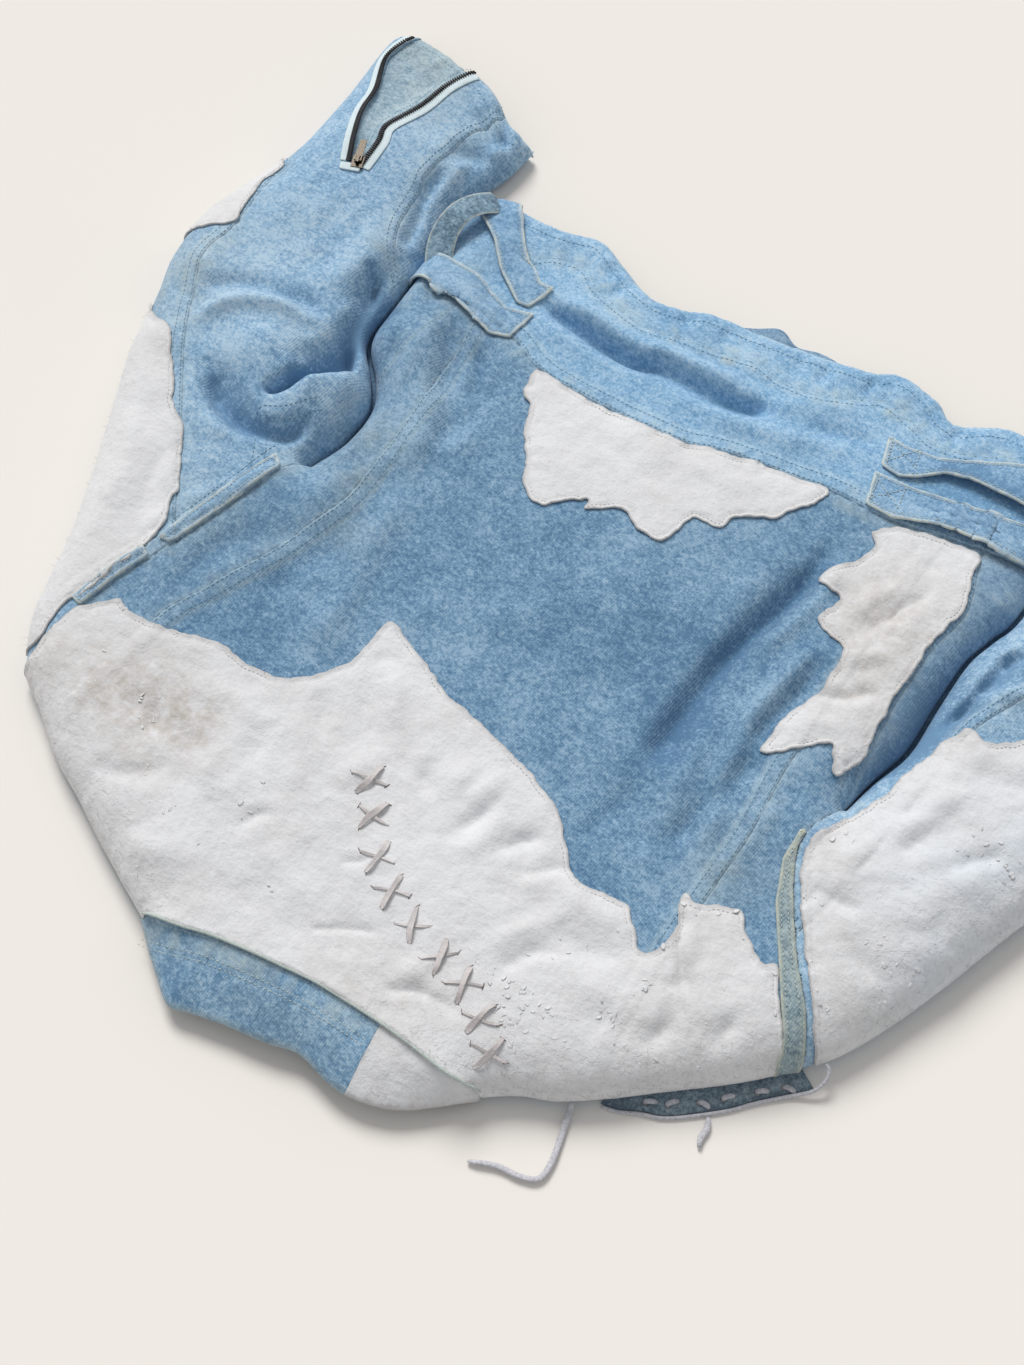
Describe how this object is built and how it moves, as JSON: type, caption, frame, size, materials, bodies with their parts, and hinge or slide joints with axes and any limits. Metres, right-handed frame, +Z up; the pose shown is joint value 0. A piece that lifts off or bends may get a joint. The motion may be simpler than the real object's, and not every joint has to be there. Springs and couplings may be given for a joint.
{
  "type": "laid out patched jacket",
  "caption": "Cropped denim jacket with ragged suede patches, laced seam, side straps and an open cuff zip, lying flat on its front with its back up.",
  "frame": {"origin": "on the flat underside of the front, below the middle of the back", "axes": "+X across the shoulders towards the laced side, +Y from the collar to the hem, +Z up from the surface it lies on"},
  "size_m": [0.8556, 0.7852, 0.0564],
  "materials": {
    "denim": "washed light blue twill, worn pale at the edges",
    "suede": "soft napped off-white suede, stained in places",
    "zip_tape": "woven tape",
    "zip_metal": "darkened metal"
  },
  "bodies": {
    "jacket": {"back_left": "denim", "back_centre": "denim", "back_right": "denim", "waistband_back": "denim", "front_left": "denim", "front_right": "denim", "waistband_front_left": "denim", "waistband_front_right": "denim", "sleeve_left_under": "denim", "sleeve_left_top": "denim", "sleeve_right_under": "denim", "sleeve_right_top": "denim", "collar_denim": "denim", "collar_suede": "suede", "collar_under": "denim", "yoke_patch": "suede", "hem_patch": "suede", "side_patch": "suede", "sleeve_left_patch": "suede", "sleeve_left_small_patch": "suede", "sleeve_right_patch": "suede", "strap_upper_left": "denim", "strap_lower_left": "denim", "strap_upper_right": "denim", "strap_lower_right": "denim", "armhole_band_left": "denim", "armhole_band_right": "denim", "lace_cross_1": "suede", "lace_cross_2": "suede", "lace_cross_3": "suede", "lace_cross_4": "suede", "lace_cross_5": "suede", "lace_cross_6": "suede", "lace_cross_7": "suede", "lace_cross_8": "suede", "lace_cross_9": "suede", "cuff_gusset": "denim", "zip_tape_left": "zip_tape", "zip_tape_right": "zip_tape", "zip_slider": "zip_metal", "laced_strip": "denim", "strip_piping": "suede", "lace_long": "suede", "lace_short": "suede"},
    "pull": {"zip_pull": "zip_metal"}
  },
  "joints": [
    {"name": "pull_hinge", "type": "hinge", "parent": "jacket", "child": "pull", "pos_m": [-0.34795, 0.26617, 0.04685], "axis": [0.9395, 0.3419, -0.0213], "range_deg": [0, 140]}
  ]
}
